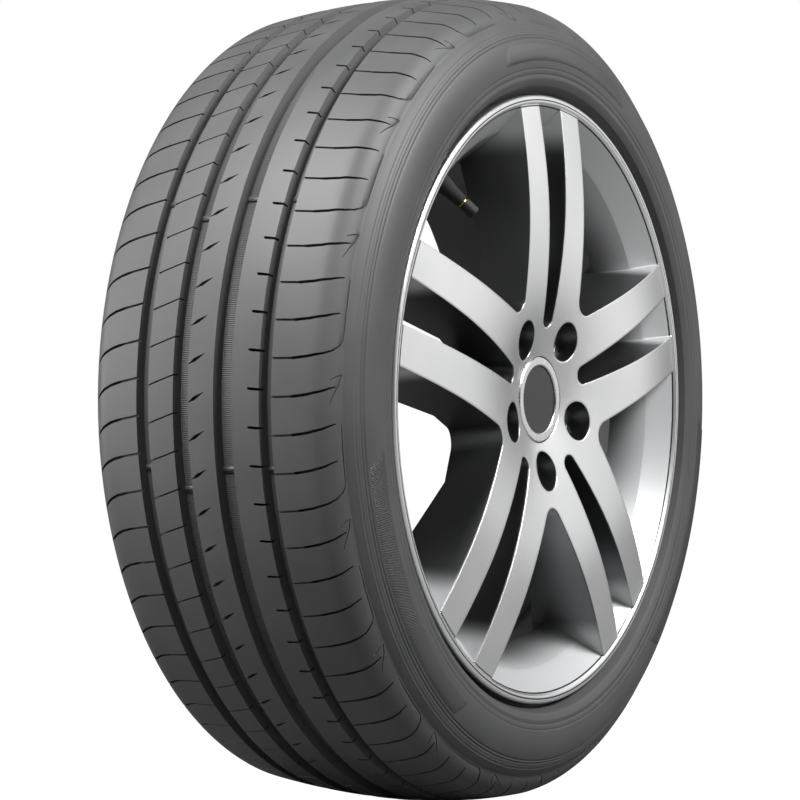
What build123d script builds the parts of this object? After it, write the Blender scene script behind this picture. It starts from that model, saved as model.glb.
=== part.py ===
from build123d import *
import math
import os

os.makedirs("parts", exist_ok=True)

# Frame: origin at the wheel centre, +Z up, Y is the spin axis, -Y is the street side.
# Section sketches lie on Plane.XY: x is the radius and y is the place along the axis.

# Tyre, from the marked size 225/45 R17
section_width = 225.0
aspect = 0.45
rim_inches = 17.0
inch = 25.4
bead_seat_r = 218.3
tyre_r = rim_inches * inch / 2 + aspect * section_width
widest_r = 262.0
wall_thick = 8.0
tread_thick = 13.5
lining_in = 10.0
# Each shoulder: side, half width of the tread, drop of the crown there, then how far it falls and reaches out
shoulders = [(-1, 84.0, 10.0, 16.0, 15.0), (1, 92.0, 7.2, 12.5, 12.5)]
shoulder_bow = (0.38, 0.62)

# Tread
groove_depth = 7.5
groove_slope = 1.6
groove_over = 5.0
# Each main groove: its car-side edge and its width at the surface
grooves = [(58.9, 11.1), (25.5, 13.1), (-9.2, 14.6), (-45.3, 9.4)]
pitches = 74
slot_phase = 0.43
slot_depth = 5.0
slot_width = 1.6
slot_runout = (0.70, 0.87)
# Each shoulder slot: three places along the axis, with the height of each up the tread
slots = [[(-52.0, 0.0), (-77.0, 1.5), (-100.0, 8.6)], [(61.0, 13.5), (84.0, 8.4), (104.5, -5.0)]]

# Bead, outside the rim's flange
shield_over = 12.0
shield_in = 1.5
hump_over = 7.0
hump_in = 4.5
heel_over = 2.5
heel_out = 3.0
toe_round = 4.0
toe_rise = 5.0
bead_clear = 0.3

# Rim, 7.5J
rim_half = 95.25
flange_r = 235.6
flange_thick = 10.5
flange_bend = 6.0
flange_land = 5.5
flange_edge = 1.2
flange_lip = 8.0
flange_back = 2.0
seat_round = 3.5
seat_width = 20.0
seat_fall = 1.7
rim_wall = 6.5
well_r = 199.5
well_start = 58.0
well_end = 40.0
barrel_r = 214.5
barrel_start = 12.0
bend_shift = 3.0

# Wheel face
pairs = 5
cap_seat_y = -95.5
cap_seat_r = 34.0
face_points = [(66.0, -103.5), (100.0, -108.6), (150.0, -111.4), (200.0, -108.2)]
face_edge = (229.0, -104.5)
offset_et = 56.0
pad_r = 76.0
pad_edge = (6.0, 8.0)
spoke_back = (122.0, -71.0)
spoke_root = (2.0, -52.0)
spoke_foot = (14.0, -80.0)
spoke_outer = 43.5
spoke_flare = 2.0
spoke_length = 150.0
twin_gap = 20.0
twin_gap_hub = 8.5
twin_hub_r = 58.0
twin_back_r = 84.0
twin_taper = 5.0
draft_width = 8.0
window_round = 12.0
twin_end_r = 240.0
window_end_r = 340.0
front_y = -118.0
back_y = -40.0

# Hub
bore_r = 28.55
spigot_depth = 16.0
cap_bore_r = 27.0
bolt_circle = 112.0
bolt_start = 54.0
bolt_hole_r = 7.5
pocket_r = 15.5
pocket_y = -86.0
pocket_reach = 60.0
seat_cone_r = 12.5
seat_cone_depth = 5.0

# Centre cap
cap_clear = 0.3
cap_lip = 5.0
cap_proud = 0.5
cap_disc_r = 26.2
cap_disc_thick = 1.2
cap_recess = 1.5
cap_chamfer = 1.2
cap_bevel = 0.6
cap_wall = 2.4
cap_leg = 15.0
ring_r = 0.9

# Tyre valve, square to the rim's wall between bead seat and well
valve_turn = 126.0
valve_hole_r = 5.75
valve_clear = 0.15
stem_r = 8.0
stem_neck = 7.5
stem_waist = 5.8
stem_length = 24.0
collar = 3.0
head_thick = 4.0
head_edge = 1.0
tube_r = 3.8
tube_bore = 2.3
tube_proud = 11.0
tube_chamfer = 0.6
core_length = 19.0
core_head = 4.0
core_taper = 6.0
core_pin_r = 0.9
core_tip_r = 1.5
core_inset = 0.8
core_clear = 0.1
valve_cap_r = 5.0
valve_cap_length = 12.0
valve_cap_top = 2.0
valve_cap_edge = 1.0
spot_r = 9.0
spot_in = -0.6
spot_out = -7.6
spot_reach = 12.0

# Values that several pieces share
half_width = section_width / 2
pair_step = 360.0 / pairs
pad_y = -offset_et
flange_face = rim_half + flange_thick
well_inner = well_r - rim_wall
spoke_turn = math.atan(spoke_flare / spoke_length)
seat_end = (bead_seat_r - rim_wall - cap_recess, -rim_half + spot_r)
well_front = (well_inner, -well_start - bend_shift)
wall_run = math.hypot(well_front[0] - seat_end[0], well_front[1] - seat_end[1])
lean_r = (seat_end[1] - well_front[1]) / wall_run
lean_y = (well_front[0] - seat_end[0]) / wall_run
valve_at = ((seat_end[0] + well_front[0]) / 2, (seat_end[1] + well_front[1]) / 2)
valve_x = math.cos(math.radians(valve_turn))
valve_z = math.sin(math.radians(valve_turn))
valve_plane = Plane(origin=(valve_at[0] * valve_x, valve_at[1], valve_at[0] * valve_z),
                    x_dir=(lean_r * valve_x, lean_y, lean_r * valve_z), z_dir=(-valve_z, 0, valve_x))
valve_axis = Axis(valve_plane.origin, valve_plane.x_dir)


def across(y):
    """Plane across the axis at y, seen from the street side, with +Z up."""
    return Plane(origin=(0, y, 0), x_dir=(1, 0, 0), z_dir=(0, -1, 0))


def crown_r(y):
    """Radius of the tread at y, from the arc that falls to that side's shoulder."""
    side, half, drop, fall, out = shoulders[0 if y < 0 else 1]
    bow = (half**2 + drop**2) / (2 * drop)
    return tyre_r - bow + math.sqrt(bow**2 - y**2)


def bead_points(side):
    """Points of the tyre's bead on one side, from the rim shield to the toe."""
    face = rim_half - bead_clear
    seat = bead_seat_r + bead_clear
    return [
        (flange_r + shield_over, side * (half_width - shield_in)),
        (flange_r + hump_over, side * (half_width - hump_in)),
        (flange_r + heel_over, side * (rim_half + heel_out)),
        (flange_r - flange_bend, side * face),
        (seat + toe_round, side * face),
        (seat, side * (face - toe_round)),
        (seat - seat_fall, side * (face - seat_width)),
        (seat + toe_rise, side * (face - seat_width)),
    ]


# The slots of one pitch: their plan, cut to a band that follows the tread
with BuildPart() as slot_band:
    with BuildSketch(Plane.XY):
        with BuildLine():
            band_top = tyre_r + groove_over
            ends = []
            for side, half, drop, fall, out in shoulders:
                edge = (tyre_r - drop - slot_depth, side * half)
                end_y = side * (half + out * slot_runout[1])
                TangentArc((tyre_r - slot_depth, 0), edge, tangent=(0, side))
                Polyline(edge, (tyre_r - drop - fall * slot_runout[0], end_y), (band_top, end_y))
                ends.append((band_top, end_y))
            Line(*ends)
        make_face()
    revolve(axis=Axis.Y)

with BuildPart() as pitch_slots:
    with BuildSketch(Plane(origin=(0, 0, 0), x_dir=(0, 1, 0), z_dir=(-1, 0, 0))):
        for path in slots:
            with BuildLine():
                ThreePointArc(*[(y, -height) for y, height in path])
            trace(line_width=slot_width)
    extrude(amount=tyre_r)
    add(slot_band.part, mode=Mode.INTERSECT)

# Tyre: one moulded ring, open towards the rim
with BuildPart() as tyre:
    with BuildSketch(Plane.XY):
        with BuildLine():
            lining = []
            for side, half, drop, fall, out in shoulders:
                edge = (tyre_r - drop, side * half)
                wall = (edge[0] - fall, side * (half + out))
                widest = (widest_r, side * half_width)
                bead = bead_points(side)
                inner = (edge[0] - tread_thick, side * (half - lining_in))
                TangentArc((tyre_r, 0), edge, tangent=(0, side))
                bow = (edge[0] - fall * shoulder_bow[0], side * (half + out * shoulder_bow[1]))
                ThreePointArc(edge, bow, wall)
                TangentArc(widest, wall, tangent=(1, 0))
                TangentArc(widest, bead[0], tangent=(-1, 0))
                Polyline(*bead)
                ThreePointArc(bead[-1], (widest_r, side * (half_width - wall_thick)), inner)
                lining.append(inner)
            ThreePointArc(lining[0], (tyre_r - tread_thick, 0), lining[1])
        make_face()
        for start, width in grooves:
            base_r = crown_r(start - width / 2) - groove_depth
            with BuildLine():
                Polyline((band_top, start + groove_slope), (base_r, start - groove_slope),
                         (base_r, start - width + groove_slope), (band_top, start - width - groove_slope),
                         close=True)
            make_face(mode=Mode.SUBTRACT)
    revolve(axis=Axis.Y)
    cuts = []
    for index in range(pitches):
        cuts += pitch_slots.part.rotate(Axis.Y, slot_phase + index * 360.0 / pitches).solids()
    add(cuts, mode=Mode.SUBTRACT)
tyre.part.label = "tyre"
export_step(tyre.part, "parts/tyre.step")


def rim_side(side):
    """Points of one side of the rim, from the flange's face to the end of the bead seat."""
    return [
        (flange_r - flange_land, side * flange_face),
        (flange_r - flange_edge, side * flange_face),
        (flange_r, side * (flange_face - flange_edge)),
        (flange_r, side * (rim_half + flange_bend)),
        (flange_r - flange_bend, side * rim_half),
        (bead_seat_r + seat_round, side * rim_half),
        (bead_seat_r, side * (rim_half - seat_round)),
        (bead_seat_r - seat_fall, side * (rim_half - seat_width)),
    ]


def twin_window(width, hub_r, hub_half, at):
    """Outline of the gap within a pair of spokes, on a plane across the axis."""
    with BuildSketch(at) as outline:
        with BuildLine():
            Polyline((-hub_half, hub_r), (-width, twin_end_r), (width, twin_end_r), (hub_half, hub_r))
            ThreePointArc((hub_half, hub_r), (0, hub_r - hub_half), (-hub_half, hub_r))
        make_face()
    return outline.sketch


def pair_window(edge, at):
    """Outline of the gap between two pairs of spokes, centred on +Y of the plane."""
    half = math.radians(pair_step / 2)
    meet = edge / math.sin(half)
    reach = window_end_r - meet
    side = reach * math.sin(half - spoke_turn)
    top = meet + reach * math.cos(half - spoke_turn)
    with BuildSketch(at) as outline:
        with BuildLine():
            Polyline((0, meet), (-side, top), (side, top), close=True)
        make_face()
        fillet(outline.vertices().sort_by(Axis.Y)[0], window_round)
    return outline.sketch


# The two kinds of window, drafted so that they narrow or widen towards the back
with BuildPart() as twin_cut:
    add(twin_window(twin_gap, twin_hub_r, twin_gap_hub, across(front_y)))
    add(twin_window(twin_gap - draft_width, twin_back_r, twin_gap_hub - twin_taper, across(back_y)))
    loft(ruled=True)

with BuildPart() as pair_cut:
    add(pair_window(spoke_outer, across(front_y)))
    add(pair_window(spoke_outer + draft_width, across(back_y)))
    loft(ruled=True)

# Alloy wheel: spider, rim and hub cast as one
with BuildPart() as alloy_wheel:
    with BuildSketch(Plane.XY):
        with BuildLine():
            Spline((cap_seat_r, cap_seat_y), *face_points, face_edge)
            Polyline(face_edge, (well_inner + spoke_foot[0], spoke_foot[1]),
                     (well_inner + spoke_root[0], spoke_root[1]), spoke_back,
                     (pad_r + pad_edge[0], pad_y - pad_edge[1]), (pad_r, pad_y), (bore_r, pad_y),
                     (bore_r, pad_y - spigot_depth), (cap_bore_r, pad_y - spigot_depth),
                     (cap_bore_r, cap_seat_y + cap_lip), (cap_seat_r, cap_seat_y + cap_lip),
                     (cap_seat_r, cap_seat_y))
        make_face()
    revolve(axis=Axis.Y)
    for index in range(pairs):
        turn = index * pair_step
        add(twin_cut.part.rotate(Axis.Y, turn), mode=Mode.SUBTRACT)
        add(pair_cut.part.rotate(Axis.Y, turn + pair_step / 2), mode=Mode.SUBTRACT)
    with BuildSketch(Plane.XY):
        with BuildLine():
            Polyline(*rim_side(-1), (well_r, -well_start), (well_r, -well_end), (barrel_r, -barrel_start),
                     *rim_side(1)[::-1], (flange_r - flange_lip, flange_face - flange_back),
                     (bead_seat_r - rim_wall, rim_half - seat_round),
                     (barrel_r - rim_wall, -barrel_start + bend_shift), (well_inner, -well_end + bend_shift),
                     well_front, seat_end, (flange_r - flange_lip, -flange_face + flange_back), close=True)
        make_face()
    revolve(axis=Axis.Y)
    with BuildSketch(across(pocket_y)):
        with PolarLocations(bolt_circle / 2, pairs, start_angle=bolt_start):
            Circle(pocket_r)
    extrude(amount=pocket_reach, mode=Mode.SUBTRACT)
    with BuildSketch(across(pocket_y)):
        with PolarLocations(bolt_circle / 2, pairs, start_angle=bolt_start):
            Circle(seat_cone_r)
    seat_angle = math.degrees(math.atan((seat_cone_r - bolt_hole_r) / seat_cone_depth))
    extrude(amount=-seat_cone_depth, taper=seat_angle, mode=Mode.SUBTRACT)
    with BuildSketch(across(pad_y)):
        with PolarLocations(bolt_circle / 2, pairs, start_angle=bolt_start):
            Circle(bolt_hole_r)
    extrude(amount=pocket_reach, both=True, mode=Mode.SUBTRACT)
    with BuildSketch(valve_plane):
        with BuildLine():
            Polyline((spot_in, 0), (spot_in, valve_hole_r), (spot_out, valve_hole_r), (spot_out, spot_r),
                     (spot_out - spot_reach, spot_r), (spot_out - spot_reach, 0), close=True)
        make_face()
        with BuildLine():
            Polyline((spot_in, 0), (spot_in + spot_reach, 0), (spot_in + spot_reach, spot_r),
                     (spot_in, spot_r), close=True)
        make_face()
    revolve(axis=valve_axis, mode=Mode.SUBTRACT)
alloy_wheel.part.label = "alloy_wheel"
export_step(alloy_wheel.part, "parts/alloy_wheel.step")

# Centre cap: bezel with a skirt that snaps into the bore, a blank disc and the spring ring in the skirt
cap_face_y = cap_seat_y - cap_proud
cap_floor_y = cap_face_y + cap_recess + cap_disc_thick
cap_back_y = cap_seat_y + cap_lip - cap_clear
cap_r = cap_seat_r - cap_clear
leg_r = cap_bore_r - cap_clear
leg_end = cap_back_y + cap_leg
with BuildPart() as cap_body:
    with BuildSketch(Plane.XY):
        with BuildLine():
            Polyline((0, cap_floor_y), (cap_disc_r + cap_clear, cap_floor_y),
                     (cap_disc_r + cap_clear, cap_face_y + cap_bevel), (cap_disc_r + cap_chamfer, cap_face_y),
                     (cap_r - cap_chamfer, cap_face_y), (cap_r, cap_face_y + cap_chamfer),
                     (cap_r, cap_back_y), (leg_r, cap_back_y), (leg_r, leg_end), (leg_r - cap_wall, leg_end),
                     (leg_r - cap_wall, cap_back_y), (0, cap_back_y), close=True)
        make_face()
    revolve(axis=Axis.Y)
cap_body.part.label = "cap_body"
export_step(cap_body.part, "parts/cap_body.step")

with BuildPart() as cap_disc:
    with BuildSketch(across(cap_floor_y)):
        Circle(cap_disc_r)
    extrude(amount=cap_disc_thick)
cap_disc.part.label = "cap_disc"
export_step(cap_disc.part, "parts/cap_disc.step")

with BuildPart() as cap_spring_ring:
    with BuildSketch(Plane.XY):
        with Locations((leg_r - cap_wall - ring_r, leg_end - 3 * ring_r)):
            Circle(ring_r)
    revolve(axis=Axis.Y)
cap_spring_ring.part.label = "cap_spring_ring"
export_step(cap_spring_ring.part, "parts/cap_spring_ring.step")

# Snap-in valve: rubber stem round a brass tube, with its core and dust cap
head_y = spot_out - head_thick
neck_r = valve_hole_r - valve_clear
tube_end = stem_length + tube_proud
with BuildPart() as valve_stem:
    with BuildSketch(valve_plane):
        with BuildLine():
            Polyline((head_y, tube_r), (head_y, stem_r - head_edge), (spot_out, stem_r), (spot_out, neck_r),
                     (spot_in, neck_r), (spot_in, stem_neck), (spot_in + collar, stem_neck),
                     (stem_length / 2, stem_waist), (stem_length, tube_r + head_edge), (stem_length, tube_r),
                     close=True)
        make_face()
    revolve(axis=valve_axis)
valve_stem.part.label = "valve_stem"
export_step(valve_stem.part, "parts/valve_stem.step")

with BuildPart() as valve_tube:
    with BuildSketch(valve_plane):
        with BuildLine():
            Polyline((head_y, tube_bore), (head_y, tube_r), (tube_end - tube_chamfer, tube_r),
                     (tube_end, tube_r - tube_chamfer), (tube_end, tube_bore), close=True)
        make_face()
    revolve(axis=valve_axis)
valve_tube.part.label = "valve_tube"
export_step(valve_tube.part, "parts/valve_tube.step")

core_end = tube_end - core_length
core_r = tube_bore - core_clear
with BuildPart() as valve_core:
    with BuildSketch(valve_plane):
        with BuildLine():
            Polyline((core_end, 0), (core_end, core_tip_r), (core_end + core_taper, core_r),
                     (tube_end - core_head, core_r), (tube_end - core_head, core_pin_r),
                     (tube_end - core_inset, core_pin_r), (tube_end - core_inset, 0), close=True)
        make_face()
    revolve(axis=valve_axis)
valve_core.part.label = "valve_core"
export_step(valve_core.part, "parts/valve_core.step")

cap_top = tube_end + valve_cap_top
cap_hollow_r = tube_r + valve_clear
with BuildPart() as valve_cap:
    with BuildSketch(valve_plane):
        with BuildLine():
            Polyline((cap_top - valve_cap_length, cap_hollow_r), (cap_top - valve_cap_length, valve_cap_r),
                     (cap_top - valve_cap_edge, valve_cap_r), (cap_top, valve_cap_r - valve_cap_edge),
                     (cap_top, 0), (tube_end + valve_clear, 0), (tube_end + valve_clear, cap_hollow_r),
                     close=True)
        make_face()
    revolve(axis=valve_axis)
valve_cap.part.label = "valve_cap"
export_step(valve_cap.part, "parts/valve_cap.step")
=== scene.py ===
"""Car tyre on its twin-spoke alloy wheel, dressed and lit as a studio product picture."""
import logging
import math
from dataclasses import dataclass
from enum import Enum
from typing import Any, Dict, List, Optional, Sequence, Tuple

import bmesh
import bpy
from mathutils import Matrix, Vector


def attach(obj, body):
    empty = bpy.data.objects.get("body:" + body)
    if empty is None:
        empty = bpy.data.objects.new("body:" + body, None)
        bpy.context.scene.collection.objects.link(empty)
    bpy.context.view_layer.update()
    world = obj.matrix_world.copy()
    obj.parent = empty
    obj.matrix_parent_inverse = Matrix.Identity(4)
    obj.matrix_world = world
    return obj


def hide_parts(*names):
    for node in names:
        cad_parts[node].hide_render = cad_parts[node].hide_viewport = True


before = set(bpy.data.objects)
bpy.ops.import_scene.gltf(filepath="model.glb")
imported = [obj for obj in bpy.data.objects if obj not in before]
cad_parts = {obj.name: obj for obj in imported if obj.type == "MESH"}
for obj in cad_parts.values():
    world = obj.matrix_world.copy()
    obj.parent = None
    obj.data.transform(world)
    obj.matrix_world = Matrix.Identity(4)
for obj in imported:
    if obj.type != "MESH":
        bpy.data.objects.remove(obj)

LOG = logging.getLogger("wheel")
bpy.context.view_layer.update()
MM = 0.001
TOUCH = 1e-3

Point = Tuple[float, float]
Place = Tuple[float, float, float]
Colour = Tuple[float, float, float]
CutPoint = Tuple[float, float, float, float]


class Pitch(Enum):
    """What the street-side shoulder carries within one pitch of the tread."""

    ARROW = "arrow"
    HOOK = "hook"
    LINE = "line"
    LINE_END = "line_end"


class Band(Enum):
    """The five bands of tread, from the car side to the street side."""

    CAR_SHOULDER = "car_shoulder"
    SECOND = "second"
    MIDDLE = "middle"
    FOURTH = "fourth"
    STREET_SHOULDER = "street_shoulder"


class Relief(Enum):
    """The fine relief of moulded rubber."""

    GRAIN = "grain"
    KNURL = "knurl"
    HATCH = "hatch"


class Sock:
    """A shader socket that can be used in Python arithmetic."""

    def __init__(self, nodes: "Nodes", out: Any) -> None:
        """Keep the node tree that owns the socket, and the socket."""
        self.nodes = nodes
        self.out = out

    def sibling(self, out: Any) -> "Sock":
        """Another output of the same node, by name or index."""
        return Sock(self.nodes, self.out.node.outputs[out])

    def maths(self, operation: str, other: Any = None, swap: bool = False) -> "Sock":
        """Add one Math node.

        Args:
            operation: the node's operation.
            other: a number or another Sock, or None where the operation takes one value.
            swap: True puts the other value first.

        Returns:
            The result's socket.
        """
        values = [self] if other is None else [self, other]
        if swap:
            values.reverse()
        return self.nodes.node("ShaderNodeMath", {"operation": operation}, dict(enumerate(values)))

    def __add__(self, other: Any) -> "Sock":
        """Sum."""
        return self.maths("ADD", other)

    __radd__ = __add__

    def __sub__(self, other: Any) -> "Sock":
        """Difference."""
        return self.maths("SUBTRACT", other)

    def __rsub__(self, other: Any) -> "Sock":
        """Reflected difference."""
        return self.maths("SUBTRACT", other, True)

    def __mul__(self, other: Any) -> "Sock":
        """Product."""
        return self.maths("MULTIPLY", other)

    __rmul__ = __mul__

    def __lt__(self, other: Any) -> "Sock":
        """One where this is less."""
        return self.maths("LESS_THAN", other)

    def __gt__(self, other: Any) -> "Sock":
        """One where this is greater, which is also the reflected form of less."""
        return self.maths("GREATER_THAN", other)

    def between(self, low: float, high: float) -> "Sock":
        """Smooth step from 0 at low to 1 at high."""
        return self.nodes.node("ShaderNodeMapRange", {"interpolation_type": "SMOOTHSTEP"},
                               {0: self, 1: low, 2: high, 3: 0.0, 4: 1.0})

    def ridges(self) -> "Sock":
        """Even ridges, two units apart."""
        return self.maths("PINGPONG", 1.0)


class Nodes:
    """A node tree to which any node can be added."""

    def __init__(self, tree: bpy.types.NodeTree) -> None:
        """Keep the tree."""
        self.tree = tree

    def node(self, kind: str, settings: Optional[Dict[str, Any]] = None,
             inputs: Optional[Dict[Any, Any]] = None, out: Any = 0) -> Sock:
        """Add any node.

        Args:
            kind: the node's type.
            settings: attributes, which are set first.
            inputs: values or Socks by socket name or index.
            out: the name or index of the output.

        Returns:
            The chosen output.
        """
        made = self.tree.nodes.new(kind)
        for key, value in (settings or {}).items():
            setattr(made, key, value)
        for key, value in (inputs or {}).items():
            if isinstance(value, Sock):
                self.link(value, made.inputs[key])
            else:
                made.inputs[key].default_value = value
        return Sock(self, made.outputs[out])

    def link(self, value: Sock, socket: bpy.types.NodeSocket) -> None:
        """Link a Sock to an input."""
        self.tree.links.new(value.out, socket)


class Shader(Nodes):
    """The node tree of one new material, round its Principled shader."""

    def __init__(self, name: str, **constants: Any) -> None:
        """Make the material and set the shader's own constants.

        Args:
            name: the material's name.
            constants: Principled socket names, with underscores for spaces.
        """
        self.material = bpy.data.materials.new(name)
        self.material.use_nodes = True
        super().__init__(self.material.node_tree)
        self.principled = self.tree.nodes["Principled BSDF"]
        for key, value in constants.items():
            self.principled.inputs[key.replace("_", " ")].default_value = value

    def mix(self, factor: Any, first: Any, second: Any) -> Sock:
        """Mix two colours, each a Sock or red, green and blue."""
        pair = [c if isinstance(c, Sock) else (*c, 1.0) for c in (first, second)]
        return self.node("ShaderNodeMix", {"data_type": "RGBA"}, {0: factor, 6: pair[0], 7: pair[1]}, 2)

    def noise(self, scale: float, detail: float) -> Sock:
        """Noise in object space."""
        where = self.node("ShaderNodeTexCoord", out="Object")
        return self.node("ShaderNodeTexNoise", {}, {"Vector": where, "Scale": scale, "Detail": detail})

    def parts(self, vector: Sock) -> Tuple[Sock, Sock, Sock]:
        """The three components of a vector."""
        first = self.node("ShaderNodeSeparateXYZ", {}, {0: vector})
        return first, first.sibling(1), first.sibling(2)

    def place(self) -> Tuple[Sock, Sock, Sock]:
        """Object coordinates, in metres."""
        return self.parts(self.node("ShaderNodeTexCoord", out="Object"))

    def radius(self) -> Sock:
        """Distance from the spin axis, in metres."""
        x, _, z = self.place()
        return (x * x + z * z).maths("SQRT")

    def turn(self) -> Sock:
        """Angle round the spin axis, in radians."""
        x, _, z = self.place()
        return z.maths("ARCTAN2", x)

    def feed(self, socket: str, value: Sock) -> None:
        """Link a Sock to one of the Principled shader's sockets."""
        self.link(value, self.principled.inputs[socket])

    def bump(self, height: Sock, depth: float, strength: float, normal: Optional[Sock] = None) -> None:
        """Feed the shader's normal from a Bump node.

        Args:
            height: the relief, about 0 to 1.
            depth: its depth in metres.
            strength: how much of it shows.
            normal: the normal that it starts from, if not the mesh's own.
        """
        inputs = {"Height": height, "Distance": depth, "Strength": strength}
        if normal is not None:
            inputs["Normal"] = normal
        self.feed("Normal", self.node("ShaderNodeBump", {}, inputs))


def scaled(colour: Colour, share: float) -> Colour:
    """A colour made lighter or darker."""
    red, green, blue = (min(1.0, c * share) for c in colour)
    return red, green, blue


@dataclass(frozen=True)
class RubberFinish:
    """Moulded tyre rubber: its grey in linear light and its fine relief."""

    name: str
    tone: float
    relief: Relief = Relief.GRAIN
    light: Colour = (1.08, 1.08, 1.09)
    dark: Colour = (0.92, 0.93, 0.94)
    knurls: float = 460.0
    hatches: float = 420.0
    hatch_slant: float = 900.0
    strength: float = 0.8

    def height(self, shader: Shader) -> Tuple[Sock, float]:
        """The relief.

        Args:
            shader: the material that takes it.

        Returns:
            The relief's socket and its depth in metres.
        """
        if self.relief is Relief.KNURL:
            return (shader.turn() * self.knurls).ridges(), 0.0004
        if self.relief is Relief.HATCH:
            return (shader.turn() * self.hatches + shader.radius() * self.hatch_slant).ridges(), 0.0003
        return shader.noise(1500.0, 2.0) * 0.4, 0.00012

    def material(self) -> bpy.types.Material:
        """Make the material."""
        shader = Shader(self.name)
        mottle = shader.noise(22.0, 4.0)
        shader.feed("Base Color", shader.mix(mottle.between(0.3, 0.7), scaled(self.dark, self.tone),
                                             scaled(self.light, self.tone)))
        shader.feed("Roughness", 0.5 + mottle * 0.12)
        height, depth = self.height(shader)
        shader.bump(height, depth, self.strength)
        return shader.material


@dataclass(frozen=True)
class AlloyFinish:
    """Silver alloy with a machined street face and silver-painted walls, where painted shade darkens the
    spoke walls and the barrel; in metres and linear light.
    """

    name: str = "alloy_silver"
    front_y: Point = (-0.084, -0.090)
    barrel_y: Point = (-0.050, -0.040)
    face_r: float = 0.2295
    lip_r: Point = (0.2265, 0.2275)
    cone_r: Point = (0.190, 0.214)
    dark_ring_radii: Point = (0.2274, 0.2318)
    dark_ring_half: float = 0.0005
    edge_round: float = 0.0022
    # The spoke walls: the same silver as the cone, made much darker as painted shade.
    wall_painted_shade: Colour = (0.13, 0.132, 0.135)
    cone_paint: Colour = (0.48, 0.485, 0.49)
    # Inside the barrel: near black, painted shade.
    barrel_painted_shade: Colour = (0.03, 0.03, 0.032)
    cut_dark: Colour = (0.80, 0.805, 0.81)
    cut_light: Colour = (0.88, 0.88, 0.885)
    lip_cut: Colour = (0.86, 0.865, 0.87)
    dark_ring_colour: Colour = (0.05, 0.05, 0.052)

    def material(self) -> bpy.types.Material:
        """Make the material."""
        shader = Shader(self.name, IOR=1.45)
        _, out_y, _ = shader.parts(shader.node("ShaderNodeNewGeometry", out="True Normal"))
        _, y, _ = shader.place()
        radius = shader.radius()
        front = y.between(*self.front_y)
        face = (-1.0 * out_y).between(0.80, 0.92) * front * (radius < self.face_r)
        lip = radius.between(*self.lip_r)
        cone = radius.between(*self.cone_r)
        sheen = shader.noise(9.0, 2.0)
        # Painted shade: the spoke walls take a dark copy of the silver that the rim's inner cone shows.
        silver_and_shade = shader.mix(cone, self.wall_painted_shade, self.cone_paint)
        # Painted shade: everything deeper than the front of the barrel turns near black.
        silver_and_shade = shader.mix(y.between(*self.barrel_y), silver_and_shade, self.barrel_painted_shade)
        cut = shader.mix(sheen.between(0.3, 0.7), self.cut_dark, self.cut_light)
        shade = shader.mix(lip, shader.mix(face, silver_and_shade, cut), self.lip_cut)
        # Two thin dark rings are coloured onto the front face, at the listed radii.
        for ring_radius in self.dark_ring_radii:
            near = (radius - ring_radius).maths("ABSOLUTE") < self.dark_ring_half
            shade = shader.mix(near * front, shade, self.dark_ring_colour)
        shader.feed("Base Color", shade)
        shader.feed("Metallic", 1.0 - cone * (1.0 - face) * (1.0 - lip) * 0.7)
        shader.feed("Roughness", 0.36 - face * 0.05 - lip * 0.08 + sheen * 0.04)
        flat = shader.node("ShaderNodeNewGeometry", out="Normal")
        rounded = shader.node("ShaderNodeBevel", {"samples": 6}, {"Radius": self.edge_round})
        normal = shader.node("ShaderNodeMix", {"data_type": "VECTOR"}, {0: front, 4: flat, 5: rounded}, 1)
        shader.bump(shader.noise(900.0, 2.0), 0.00002, 0.2, normal)
        return shader.material


@dataclass(frozen=True)
class PlainFinish:
    """A moulded, turned or drawn finish with a fine grain, in linear light."""

    name: str
    colour: Colour
    roughness: float
    metallic: float = 0.0
    grain: float = 900.0
    edge_round: float = 0.0005

    def material(self) -> bpy.types.Material:
        """Make the material."""
        shader = Shader(self.name, Metallic=self.metallic)
        grit = shader.noise(self.grain, 3.0)
        shader.feed("Base Color", shader.mix(grit.between(0.3, 0.7), scaled(self.colour, 0.93),
                                             scaled(self.colour, 1.07)))
        shader.feed("Roughness", self.roughness + (grit - 0.5) * 0.1)
        rounded = shader.node("ShaderNodeBevel", {"samples": 4}, {"Radius": self.edge_round})
        shader.bump(grit, 0.00004, 0.4, rounded)
        return shader.material


def arc(first: Point, middle: Point, last: Point, count: int) -> List[Point]:
    """Points on the circle through three points.

    Args:
        first: where the arc starts.
        middle: a point on it.
        last: where it ends.
        count: how many points, with both ends.

    Returns:
        The points in order.
    """
    (ax, ay), (bx, by), (cx, cy) = first, middle, last
    d = 2 * (ax * (by - cy) + bx * (cy - ay) + cx * (ay - by))
    aa, bb, cc = ax * ax + ay * ay, bx * bx + by * by, cx * cx + cy * cy
    ux = (aa * (by - cy) + bb * (cy - ay) + cc * (ay - by)) / d
    uy = (aa * (cx - bx) + bb * (ax - cx) + cc * (bx - ax)) / d
    radius = math.hypot(ax - ux, ay - uy)
    start = math.atan2(ay - uy, ax - ux)
    half = math.remainder(math.atan2(by - uy, bx - ux) - start, math.tau)
    rest = math.remainder(math.atan2(cy - uy, cx - ux) - start - half, math.tau)
    sweep = half + rest
    steps = [start + sweep * i / (count - 1) for i in range(count)]
    return [(ux + radius * math.cos(t), uy + radius * math.sin(t)) for t in steps]


def tangent_arc(peak: Point, end: Point, count: int) -> List[Point]:
    """Points on the arc that leaves a sidewall's widest point square to the axis.

    Args:
        peak: the widest point, as (radius, axial).
        end: where the arc ends, nearer the middle of the tyre.
        count: how many points, with both ends.

    Returns:
        The points from peak to end.
    """
    reach, fall = end[0] - peak[0], peak[1] - end[1]
    bow = (reach * reach + fall * fall) / (2 * fall)
    turn = math.atan2(reach, bow - fall)
    steps = [turn * i / (count - 1) for i in range(count)]
    return [(peak[0] + bow * math.sin(t), peak[1] - bow + bow * math.cos(t)) for t in steps]


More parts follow.
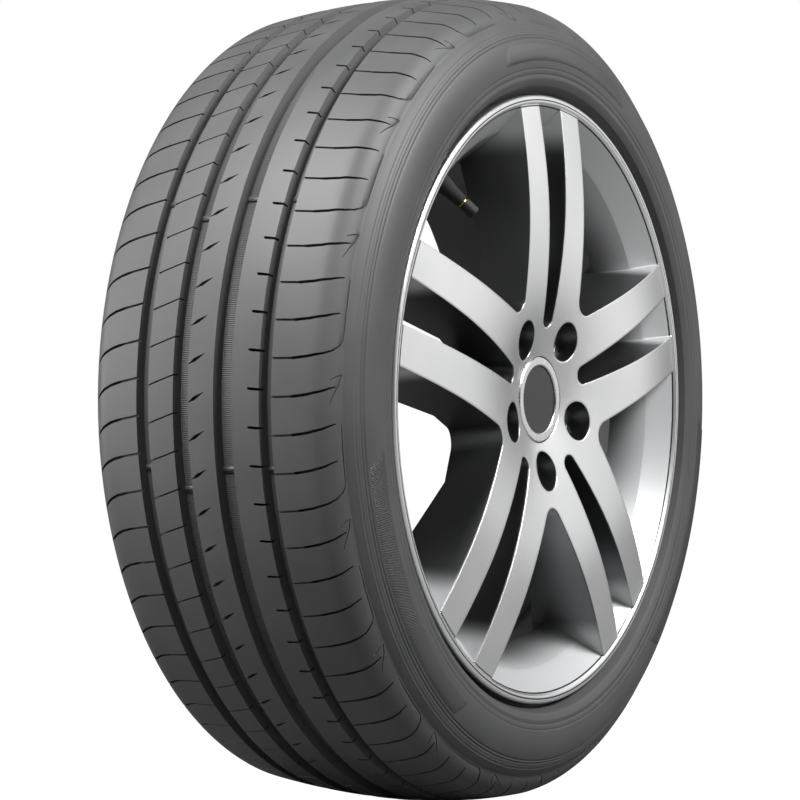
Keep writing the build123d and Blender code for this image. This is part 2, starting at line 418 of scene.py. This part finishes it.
def mesh_object(name: str, bm: bmesh.types.BMesh) -> bpy.types.Object:
    """Put a bmesh into a new object in the scene and free it.

    Args:
        name: the object's name.
        bm: the mesh, which is used up.

    Returns:
        The object.
    """
    mesh = bpy.data.meshes.new(name)
    bm.to_mesh(mesh)
    bm.free()
    made = bpy.data.objects.new(name, mesh)
    bpy.context.scene.collection.objects.link(made)
    return made


def cut_away(piece: bpy.types.Object, knife: bpy.types.Object) -> None:
    """Cut one closed mesh out of another and remove the knife."""
    cut = piece.modifiers.new("cut", "BOOLEAN")
    cut.operation = "DIFFERENCE"
    cut.solver = "EXACT"
    cut.object = knife
    graph = bpy.context.evaluated_depsgraph_get()
    mesh = bpy.data.meshes.new_from_object(piece.evaluated_get(graph))
    piece.modifiers.clear()
    old = piece.data
    piece.data = mesh
    bpy.data.meshes.remove(old)
    bpy.data.objects.remove(knife)


def on_line(place: Vector, pair: Sequence[Point]) -> bool:
    """True where a flat place lies on the section line between two (axial, radius) points."""
    (y0, r0), (y1, r1) = pair
    run = Vector((y1 - y0, r1 - r0))
    off = Vector((place.x - y0, place.z - r0))
    share = off.dot(run) / run.length_squared
    return -TOUCH <= share <= 1.0 + TOUCH and (off - run * share).length < 2 * TOUCH


def tube(bm: bmesh.types.BMesh, rows: Sequence[Sequence[bmesh.types.BMVert]]) -> None:
    """Join closed rows of points into a capped tube whose faces look outwards."""
    count = len(rows[0])
    for one, two in zip(rows, rows[1:]):
        for k in range(count):
            bm.faces.new((one[k], one[(k + 1) % count], two[(k + 1) % count], two[k]))
    bm.faces.new(rows[0])
    bm.faces.new(list(reversed(rows[-1])))
    bmesh.ops.recalc_face_normals(bm, faces=bm.faces)


def soften(bm: bmesh.types.BMesh, degrees: float) -> None:
    """Smooth shading, with open edges and those sharper than an angle kept crisp."""
    limit = math.radians(degrees)
    for face in bm.faces:
        face.smooth = True
    for edge in bm.edges:
        edge.smooth = len(edge.link_faces) == 2 and edge.calc_face_angle(0.0) < limit


@dataclass(frozen=True)
class Slot:
    """A narrow cut in the tread: points of (axial, along, half width, depth), in mm."""

    points: Tuple[CutPoint, ...]

    def moved(self, shift: float) -> "Slot":
        """The same cut, further along the tread."""
        return Slot(tuple((y, along + shift, half, depth) for y, along, half, depth in self.points))


@dataclass(frozen=True)
class Rib:
    """One band of tread blocks: its section's top and underside, as (axial, radius) points."""

    band: Band
    top: List[Point]
    under: List[Point]


@dataclass(frozen=True)
class Panel:
    """A hatched sidewall panel: where it starts and ends, in degrees, and its inner radius."""

    first: float
    last: float
    low: float


@dataclass
class Tyre:
    """The tyre, in millimetres and degrees: sizes as in the solids, and the moulded tread."""

    outer_r: float = 317.05
    street_half: float = 84.0
    street_drop: float = 10.0
    street_side: Point = (291.15, 99.0)
    car_half: float = 92.0
    car_drop: float = 7.2
    car_side: Point = (297.45, 104.5)
    shoulder_bulge: float = 0.62
    widest: Point = (262.0, 112.48)
    shield: Point = (247.6, 111.0)

    flange_r: float = 235.6
    rim_half: float = 94.95
    seat_r: float = 218.6
    shield_foot: Point = (7.0, 108.0)
    flange_gap: Point = (2.5, 3.3)
    heel_drop: float = 6.0
    heel_round: float = 4.0
    seat_width: float = 20.0
    seat_fall: float = 1.7
    toe_rise: float = 5.0
    tread_wall: float = 13.5
    side_wall: float = 8.0
    liner_inset: float = 10.0

    grooves: Tuple[Point, ...] = ((58.9, 11.1), (25.5, 13.1), (-9.2, 14.6), (-45.3, 9.4))
    knurled: Tuple[int, ...] = (1, 2)
    groove_depth: float = 7.5
    groove_slope: float = 1.7
    pitches: int = 74
    per_pitch: int = 3
    start_turn: float = 15.36
    slot_start: float = 6.5
    edge_line: float = -98.4
    slot_taper: float = 0.8
    cutter_over: float = 4.0
    tile_over: float = 2.0
    under_inset: float = 4.0
    car_under: float = 4.0
    street_under: float = 6.0
    rib_steps: int = 6
    shoulder_steps: int = 9
    weld: float = 0.04
    crease: float = 32.0

    wear_bars: int = 10
    bar_start: float = 35.8
    bar_shift: float = -14.6
    bar_height: float = 1.1
    bar_half: float = 2.0
    bar_gap: float = 0.3

    wall_inset_r: Point = (248.0, 287.0)
    wall_inset_run: Point = (2.0, 3.0)
    wall_rings: Tuple[Place, ...] = ((286.2, 0.8, 0.3), (284.0, 0.8, 0.3), (281.0, 0.9, -0.6),
                                     (278.9, 0.9, -0.6), (255.2, 0.9, -0.4), (251.0, 0.9, -0.4))
    panel_places: Tuple[Panel, ...] = (Panel(64, 109, 260.5), Panel(187, 238, 260.0),
                                       Panel(309, 357, 260.5))
    panel_top: float = 277.6
    panel_proud: float = 0.5
    panel_sink: float = 0.8
    panel_lean: float = 2.5
    panel_around: int = 60
    panel_across: int = 8
    panel_crease: float = 60.0

    rubber: RubberFinish = RubberFinish("tyre_rubber", 0.045)
    floor_rubber: RubberFinish = RubberFinish("groove_floor", 0.040, Relief.KNURL)
    panel_rubber: RubberFinish = RubberFinish("panel_rubber", 0.030, Relief.HATCH)

    @property
    def pitch(self) -> float:
        """Length of one pitch at the crown, in mm."""
        return math.tau * self.outer_r / self.pitches

    def edge(self, side: int) -> Tuple[float, float, Point]:
        """Half width, drop and shoulder's end on the car side (1) or the street side (-1)."""
        if side < 0:
            return self.street_half, self.street_drop, self.street_side
        return self.car_half, self.car_drop, self.car_side

    def crown(self, y: float) -> float:
        """Radius of the tread surface at an axial place, shoulders included."""
        side = -1 if y < 0 else 1
        half, drop, _ = self.edge(side)
        if abs(y) <= half:
            big = (half * half + drop * drop) / (2 * drop)
            return self.outer_r - big + math.sqrt(big * big - y * y)
        line = self.shoulder(side, 40)
        for (r0, y0), (r1, y1) in zip(line, line[1:]):
            if abs(y0) <= abs(y) <= abs(y1):
                return r0 + (r1 - r0) * (y - y0) / (y1 - y0)
        return line[-1][0]

    def shoulder(self, side: int, count: int) -> List[Point]:
        """The rounded shoulder.

        Args:
            side: 1 for the car side, -1 for the street side.
            count: how many points.

        Returns:
            (radius, axial) points from the tread's edge to the sidewall.
        """
        half, drop, end = self.edge(side)
        top = self.outer_r - drop
        fall, out = top - end[0], end[1] - half
        middle = (top - fall * (1 - self.shoulder_bulge), side * (half + out * self.shoulder_bulge))
        return arc((top, side * half), middle, (end[0], side * end[1]), count)

    def sidewall(self, side: int, count: int) -> List[Point]:
        """The sidewall's arcs.

        Args:
            side: 1 for the car side, -1 for the street side.
            count: how many points above the widest place.

        Returns:
            (radius, axial) points from the shoulder to the rim shield.
        """
        upper = tangent_arc(self.widest, self.edge(side)[2], count)
        lower = tangent_arc(self.widest, self.shield, count // 4)
        return [(r, side * y) for r, y in upper[::-1] + lower[1:]]

    def wall_y(self, radius: float) -> float:
        """Axial place of the street sidewall at a radius."""
        line = self.sidewall(-1, 60)
        for (r0, y0), (r1, y1) in zip(line, line[1:]):
            if r1 <= radius <= r0:
                return y0 + (y1 - y0) * (radius - r0) / (r1 - r0)
        return line[-1][1]

    def wrap(self, y: float, along: float, radius: float) -> Vector:
        """Bend a flat tread place round the wheel, in metres."""
        turn = math.radians(self.start_turn) - along / self.outer_r
        return Vector((radius * math.cos(turn), y, radius * math.sin(turn))) * MM

    def street_slots(self, kind: Pitch) -> List[Slot]:
        """Cuts in the street-side shoulder.

        Args:
            kind: what this pitch carries besides its slot.

        Returns:
            The cuts.
        """
        low, line, past = self.slot_start, self.edge_line, self.pitch + self.tile_over
        start = ((-53.0, 0.0, 0.95, 1.8), (-68.0, 0.4, 0.95, 1.8),
                 (-70.0, 0.5, 1.15, 5.0), (-80.0, 1.9, 1.15, 5.0))
        plain = Slot(start + ((-90.0, 4.4, 1.0, 4.5), (-96.5, 7.6, 0.5, 1.6))).moved(low)
        if kind is Pitch.HOOK:
            bend = ((-90.0, 4.4, 0.9, 4.0), (-94.5, 6.6, 0.65, 2.5),
                    (-97.2, 10.5, 0.5, 1.5), (-98.3, 15.0, 0.4, 1.0))
            return [Slot(Slot(start + bend).moved(low).points + ((line, past, 0.4, 0.9),))]
        if kind is Pitch.ARROW:
            barb = Slot(((-94.0, 12.0, 0.3, 0.7), (-98.0, 16.2, 0.4, 0.9))).moved(low)
            shaft = Slot(((line, 16.6, 0.4, 0.9), (-97.6, 9.0, 0.4, 0.9), (-94.0, -4.8, 0.2, 0.6)))
            return [plain, barb, shaft.moved(low)]
        end = (line, past, 0.4, 0.9) if kind is Pitch.LINE else (line, 13.0, 0.25, 0.7)
        return [plain, Slot(((line, -self.tile_over, 0.4, 0.9), end))]

    def slots(self, band: Band, kind: Pitch) -> List[Slot]:
        """Cuts in one pitch of a band.

        Args:
            band: the band of tread.
            kind: what the street-side shoulder carries.

        Returns:
            The cuts: a bent slot in each shoulder, a thin cut across the second rib, a pointed
            notch in the middle one and a short notch in the fourth.
        """
        if band is Band.STREET_SHOULDER:
            return self.street_slots(kind)
        cuts = {
            Band.CAR_SHOULDER: ((57.0, 13.8, 0.95, 2.2), (74.5, 10.8, 0.95, 2.4), (76.0, 10.5, 1.15, 5.0),
                                (84.0, 8.4, 1.15, 5.0), (90.0, 5.6, 1.1, 5.0), (96.0, 1.0, 0.9, 4.0),
                                (101.0, -4.0, 0.4, 1.2)),
            Band.SECOND: ((49.6, 7.2, 1.3, 4.5), (44.0, 9.6, 0.6, 4.5), (35.0, 12.5, 0.6, 4.5),
                          (23.6, 16.2, 0.6, 4.5)),
            Band.MIDDLE: ((14.2, -4.9, 0.5, 2.0), (10.6, -3.0, 0.55, 2.0), (7.4, -1.2, 1.45, 5.0),
                          (3.0, 1.2, 0.9, 4.0), (-1.5, 3.6, 0.08, 1.0)),
            Band.FOURTH: ((-47.5, 5.2, 0.95, 4.5), (-41.0, 5.6, 1.15, 5.0), (-37.4, 5.9, 1.1, 5.0),
                          (-36.4, 6.3, 0.5, 3.5)),
        }
        return [Slot(cuts[band]).moved(self.slot_start)]

    def ribs(self) -> List[Rib]:
        """The five bands of tread between the grooves."""
        made = []
        bands = list(Band)
        for index, band in enumerate(bands):
            first, last = index == 0, index == len(bands) - 1
            high = self.car_half if first else self.grooves[index - 1][0] - self.grooves[index - 1][1]
            low = -self.street_half if last else self.grooves[index][0]
            across = [high + (low - high) * i / self.rib_steps for i in range(self.rib_steps + 1)]
            top = [(y, self.crown(y)) for y in across]
            if first:
                top = [(y, r) for r, y in reversed(self.shoulder(1, self.shoulder_steps))] + top[1:]
                outer = (self.car_half - self.under_inset, self.floor(0) - self.car_under)
            else:
                outer = (high + self.groove_slope, self.floor(index - 1))
            if last:
                top += [(y, r) for r, y in self.shoulder(-1, self.shoulder_steps)[1:]]
                inner = (self.under_inset - self.street_half, self.floor(index - 1) - self.street_under)
            else:
                inner = (low - self.groove_slope, self.floor(index))
            made.append(Rib(band, top, [inner, outer]))
        return made

    def floor(self, index: int) -> float:
        """Radius of a groove's floor."""
        start, width = self.grooves[index]
        return self.crown(start - width / 2) - self.groove_depth

    def cutter(self, slot: Slot) -> bpy.types.Object:
        """A closed prism that cuts one slot out of a flat tile."""
        bm = bmesh.new()
        rows = []
        for i, (y, along, half, depth) in enumerate(slot.points):
            before = slot.points[max(i - 1, 0)]
            after = slot.points[min(i + 1, len(slot.points) - 1)]
            run = Vector((after[0] - before[0], after[1] - before[1])).normalized()
            side = Vector((-run.y, run.x)) * half
            base = self.crown(y)
            corners = ((-self.slot_taper, -depth), (self.slot_taper, -depth),
                       (1.0, self.cutter_over), (-1.0, self.cutter_over))
            rows.append([bm.verts.new((y + s * side.x, along + s * side.y, base + h)) for s, h in corners])
        tube(bm, rows)
        return mesh_object("cutter", bm)

    def tile(self, rib: Rib, kind: Pitch) -> bmesh.types.BMesh:
        """One pitch of a rib, flat and cut.

        Args:
            rib: the band of tread.
            kind: what the street-side shoulder carries.

        Returns:
            The tile, open at its ends and underside.
        """
        bm = bmesh.new()
        steps = [self.pitch * i / self.per_pitch for i in range(self.per_pitch + 1)]
        tube(bm, [[bm.verts.new((y, along, r)) for y, r in rib.top + rib.under] for along in steps])
        block = mesh_object("tile_" + rib.band.value, bm)
        for slot in self.slots(rib.band, kind):
            cut_away(block, self.cutter(slot))
        bm = bmesh.new()
        bm.from_mesh(block.data)
        bpy.data.objects.remove(block)
        inner, outer = rib.under
        hidden = [(inner, outer)]
        if rib.band is Band.CAR_SHOULDER:
            hidden.append((outer, rib.top[0]))
        if rib.band is Band.STREET_SHOULDER:
            hidden.append((rib.top[-1], inner))
        gone = []
        for face in bm.faces:
            places = [v.co for v in face.verts]
            at_end = all(p.y < TOUCH for p in places) or all(p.y > self.pitch - TOUCH for p in places)
            if at_end or any(all(on_line(p, pair) for p in places) for pair in hidden):
                gone.append(face)
        bmesh.ops.delete(bm, geom=gone, context="FACES")
        return bm

    def kinds(self) -> List[Pitch]:
        """The order of pitches round the tyre; the last two close the ring."""
        cycle = list(Pitch)
        order = (cycle * (self.pitches // len(cycle) + 1))[:self.pitches]
        order[-2:] = [Pitch.ARROW, Pitch.ARROW]
        return order

    def tread(self, bm: bmesh.types.BMesh) -> None:
        """Wrap every band's tiles round the tyre."""
        for rib in self.ribs():
            tiles: Dict[Pitch, bmesh.types.BMesh] = {}
            for index, kind in enumerate(self.kinds()):
                use = kind if rib.band is Band.STREET_SHOULDER else Pitch.ARROW
                if use not in tiles:
                    tiles[use] = self.tile(rib, use)
                flat = tiles[use]
                flat.verts.index_update()
                start = index * self.pitch
                new = [bm.verts.new(self.wrap(v.co.x, start + v.co.y, v.co.z)) for v in flat.verts]
                for face in flat.faces:
                    bm.faces.new([new[v.index] for v in face.verts])
            for flat in tiles.values():
                flat.free()

    def ring(self, bm: bmesh.types.BMesh, line: Sequence[Point], material: int = 0) -> None:
        """Add a strip of revolution.

        Args:
            bm: the mesh that takes it.
            line: (radius, axial) points.
            material: the strip's material slot.
        """
        steps = self.pitches * self.per_pitch
        rows = []
        for i in range(steps):
            along = math.tau * self.outer_r * i / steps
            rows.append([bm.verts.new(self.wrap(y, along, r)) for r, y in line])
        for one, two in zip(rows, rows[1:] + rows[:1]):
            for k in range(len(line) - 1):
                face = bm.faces.new((one[k], two[k], two[k + 1], one[k + 1]))
                face.material_index = material

    def bead(self, side: int) -> List[Point]:
        """The bead on its rim seat, as (radius, axial) points from the rim shield to the toe."""
        face = self.rim_half
        toe_y = face - self.seat_width
        line = [(self.flange_r + self.shield_foot[0], self.shield_foot[1]),
                (self.flange_r + self.flange_gap[0], face + self.flange_gap[1]),
                (self.flange_r - self.heel_drop, face),
                (self.seat_r + self.heel_round, face),
                (self.seat_r, face - self.heel_round),
                (self.seat_r - self.seat_fall, toe_y),
                (self.seat_r + self.toe_rise, toe_y)]
        return [(r, side * y) for r, y in line]

    def moulded(self, radius: float, y: float) -> Point:
        """The street sidewall, set back for its panels, with its raised and sunk rings."""
        (low, high), (low_run, high_run) = self.wall_inset_r, self.wall_inset_run
        share = max(0.0, min(1.0, (high - radius) / high_run, (radius - low) / low_run))
        rise = -self.panel_proud * share
        for at, wide, tall in self.wall_rings:
            rise += tall * max(0.0, 1.0 - abs(radius - at) / wide)
        return radius, y - rise

    def carcass(self, bm: bmesh.types.BMesh) -> None:
        """Groove floors, sidewalls, beads and the inside of the tyre."""
        for index, (start, width) in enumerate(self.grooves):
            base = self.floor(index)
            line = [(base, start - self.groove_slope), (base, start - width + self.groove_slope)]
            self.ring(bm, line, 1 if index in self.knurled else 0)
        ends = []
        for side, count in ((1, 28), (-1, 100)):
            half, drop, _ = self.edge(side)
            end = (self.outer_r - drop - self.tread_wall, side * (half - self.liner_inset))
            wall = self.sidewall(side, count)
            if side < 0:
                wall = [self.moulded(r, y) for r, y in wall]
            bead = self.bead(side)
            lining = arc(bead[-1], (self.widest[0], side * (self.widest[1] - self.side_wall)), end, 12)
            self.ring(bm, wall + bead + lining[1:])
            ends.append(end)
        self.ring(bm, arc(ends[0], (self.outer_r - self.tread_wall, 0.0), ends[1], 12))

    def bars(self, bm: bmesh.types.BMesh) -> None:
        """Wear bars on the groove floors."""
        for index, (start, width) in enumerate(self.grooves):
            base = self.floor(index)
            shift = self.bar_shift if index == 1 else 0.0
            edge = start - self.groove_slope + self.bar_gap
            far = start - width + self.groove_slope - self.bar_gap
            half = self.bar_half
            for k in range(self.wear_bars):
                mid = math.tau * self.outer_r * k / self.wear_bars + self.bar_start + shift
                corners = []
                for r in (base - self.bar_gap, base + self.bar_height):
                    for y, along in ((edge, -half), (edge, half), (far, half), (far, -half)):
                        corners.append(bm.verts.new(self.wrap(y, mid + along, r)))
                foot, top = corners[:4], corners[4:]
                bm.faces.new(top)
                for a, b in ((0, 1), (1, 2), (2, 3), (3, 0)):
                    bm.faces.new((foot[a], foot[b], top[b], top[a]))
                bm.faces.new(foot[::-1])

    def build(self) -> bpy.types.Object:
        """Make the tyre's mesh and put its materials on.

        Returns:
            The tyre.
        """
        bm = bmesh.new()
        self.tread(bm)
        self.carcass(bm)
        bmesh.ops.remove_doubles(bm, verts=bm.verts, dist=self.weld * MM)
        bmesh.ops.recalc_face_normals(bm, faces=bm.faces)
        self.bars(bm)
        soften(bm, self.crease)
        tyre = mesh_object("tyre_moulded", bm)
        tyre.data.materials.append(self.rubber.material())
        tyre.data.materials.append(self.floor_rubber.material())
        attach(tyre, "root")
        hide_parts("tyre")
        return tyre

    def panel(self, name: str, shape: Panel) -> bpy.types.Object:
        """A hatched panel that stands a little proud of the street sidewall.

        Args:
            name: the piece's name.
            shape: its place.

        Returns:
            The panel, with its edges sunk into the sidewall.
        """
        bm = bmesh.new()
        grid = []
        for i in range(self.panel_around + 1):
            row = []
            for j in range(self.panel_across + 1):
                share = j / self.panel_across
                radius = shape.low + (self.panel_top - shape.low) * share
                lean = self.panel_lean * share
                span = shape.last - shape.first - 2 * lean
                turn = math.radians(shape.first + lean + span * i / self.panel_around)
                at_edge = i in (0, self.panel_around) or j in (0, self.panel_across)
                y = self.wall_y(radius) + (self.panel_sink if at_edge else 0.0)
                row.append(bm.verts.new(Vector((radius * math.cos(turn), y, radius * math.sin(turn))) * MM))
            grid.append(row)
        for one, two in zip(grid, grid[1:]):
            for j in range(self.panel_across):
                bm.faces.new((one[j], two[j], two[j + 1], one[j + 1]))
        bmesh.ops.recalc_face_normals(bm, faces=bm.faces)
        soften(bm, self.panel_crease)
        return mesh_object(name, bm)

    def panels(self) -> List[bpy.types.Object]:
        """The hatched panels of the street sidewall, dressed."""
        skin = self.panel_rubber.material()
        made = []
        for number, shape in enumerate(self.panel_places, 1):
            piece = self.panel("sidewall_panel_%d" % number, shape)
            piece.data.materials.append(skin)
            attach(piece, "root")
            made.append(piece)
        return made


@dataclass
class Wheel:
    """The alloy wheel, its cap and valve: the solids keep their shape and get their finishes."""

    alloy: AlloyFinish = AlloyFinish()
    cap_silver: PlainFinish = PlainFinish("cap_silver", (0.70, 0.70, 0.71), 0.26, 1.0)
    cap_charcoal: PlainFinish = PlainFinish("cap_charcoal", (0.022, 0.022, 0.023), 0.5)
    spring_steel: PlainFinish = PlainFinish("spring_steel", (0.5, 0.5, 0.51), 0.35, 1.0)
    valve_rubber: PlainFinish = PlainFinish("valve_rubber", (0.006, 0.006, 0.006), 0.85)
    valve_brass: PlainFinish = PlainFinish("brass_turned", (0.62, 0.45, 0.20), 0.32, 1.0)
    valve_black: PlainFinish = PlainFinish("valve_cap_black", (0.006, 0.006, 0.006), 0.7)

    def dress(self) -> List[str]:
        """Give every visible solid its material.

        Returns:
            The names of the solids.
        """
        brass = self.valve_brass.material()
        finishes = {
            "alloy_wheel": self.alloy.material(),
            "cap_body": self.cap_silver.material(),
            "cap_disc": self.cap_charcoal.material(),
            "cap_spring_ring": self.spring_steel.material(),
            "valve_stem": self.valve_rubber.material(),
            "valve_tube": brass,
            "valve_core": brass,
            "valve_cap": self.valve_black.material(),
        }
        for name, material in finishes.items():
            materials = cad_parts[name].data.materials
            materials.clear()
            materials.append(material)
        return list(finishes)


@dataclass(frozen=True)
class SoftBox:
    """A rectangular lamp that points at the wheel's middle, in metres and watts."""

    name: str
    place: Place
    size: Point
    power: float

    def build(self) -> None:
        """Add the lamp."""
        data = bpy.data.lights.new(self.name, "AREA")
        data.shape = "RECTANGLE"
        data.size, data.size_y = self.size
        data.energy = self.power
        made = bpy.data.objects.new(self.name, data)
        made.location = self.place
        made.rotation_euler = (-Vector(self.place)).to_track_quat("-Z", "Y").to_euler()
        bpy.context.scene.collection.objects.link(made)


@dataclass
class Studio:
    """Camera, lights, floor and background, in metres."""

    eye: Place = (-1.72878, -1.01322, 0.00534)
    aim: Place = (0.0, 0.03162, -0.00065)
    lens: float = 112.79
    sensor: float = 36.0
    sight: float = 50.0
    boxes: Tuple[SoftBox, ...] = (SoftBox("top_box", (-1.7, 0.45, 2.1), (1.4, 1.2), 165.0),
                                  SoftBox("face_box", (2.3, -1.9, 0.9), (2.4, 2.4), 17.0),
                                  SoftBox("wall_box", (0.1, -2.5, 2.3), (1.8, 1.2), 210.0),
                                  SoftBox("edge_box", (-1.6, 2.6, 0.3), (0.7, 2.2), 90.0))
    fill: float = 0.03
    floor_z: float = -0.3172
    floor_half: float = 12.0
    floor_grey: Colour = (0.12, 0.12, 0.12)
    floor_glow: float = 1.2
    floor_white: float = 0.85

    def camera(self) -> None:
        """Set the camera where the photograph was taken from."""
        data = bpy.data.cameras.new("camera")
        data.sensor_width = self.sensor
        data.lens = self.lens
        data.clip_end = self.sight
        made = bpy.data.objects.new("camera", data)
        made.location = self.eye
        made.rotation_euler = (Vector(self.aim) - Vector(self.eye)).to_track_quat("-Z", "Y").to_euler()
        bpy.context.scene.collection.objects.link(made)
        bpy.context.scene.camera = made

    def world(self) -> None:
        """White where the camera looks, also through clear things, and a grey fill for the rest."""
        world = bpy.data.worlds.new("studio")
        world.use_nodes = True
        nodes = Nodes(world.node_tree)
        back = world.node_tree.nodes["Background"]
        camera = nodes.node("ShaderNodeLightPath", out="Is Camera Ray")
        seen = camera.maths("MAXIMUM", camera.sibling("Is Transmission Ray"))
        nodes.link(self.fill + seen * (1.0 - self.fill), back.inputs["Strength"])
        back.inputs["Color"].default_value = (1, 1, 1, 1)
        bpy.context.scene.world = world

    def floor(self) -> None:
        """A wide pale floor under the tyre that looks white to the camera and keeps a soft shadow."""
        bm = bmesh.new()
        bmesh.ops.create_grid(bm, x_segments=1, y_segments=1, size=self.floor_half)
        made = mesh_object("floor", bm)
        made.location.z = self.floor_z
        shader = Shader("floor_white", Roughness=0.9, Base_Color=(*self.floor_grey, 1))
        camera = shader.node("ShaderNodeLightPath", out="Is Camera Ray")
        glow = shader.node("ShaderNodeEmission", {}, {"Color": (1, 1, 1, 1), "Strength": self.floor_glow})
        plain = Sock(shader, shader.principled.outputs[0])
        both = shader.node("ShaderNodeMixShader", {}, {0: camera * self.floor_white, 1: plain, 2: glow})
        shader.link(both, shader.tree.nodes["Material Output"].inputs["Surface"])
        made.data.materials.append(shader.material)

    def build(self) -> None:
        """Set the camera, the lights and what is behind and below."""
        self.camera()
        for box in self.boxes:
            box.build()
        self.world()
        self.floor()


def main() -> None:
    """Build the tyre, dress the wheel and set the studio."""
    logging.basicConfig(level=logging.INFO, format="%(message)s")
    bpy.context.scene.view_settings.view_transform = "Standard"
    tyre = Tyre()
    LOG.info("built %s", tyre.build().name)
    for piece in tyre.panels():
        LOG.info("built %s", piece.name)
    for name in Wheel().dress():
        LOG.info("dressed %s", name)
    Studio().build()
    LOG.info("set the studio")


if __name__ == "__main__":
    main()
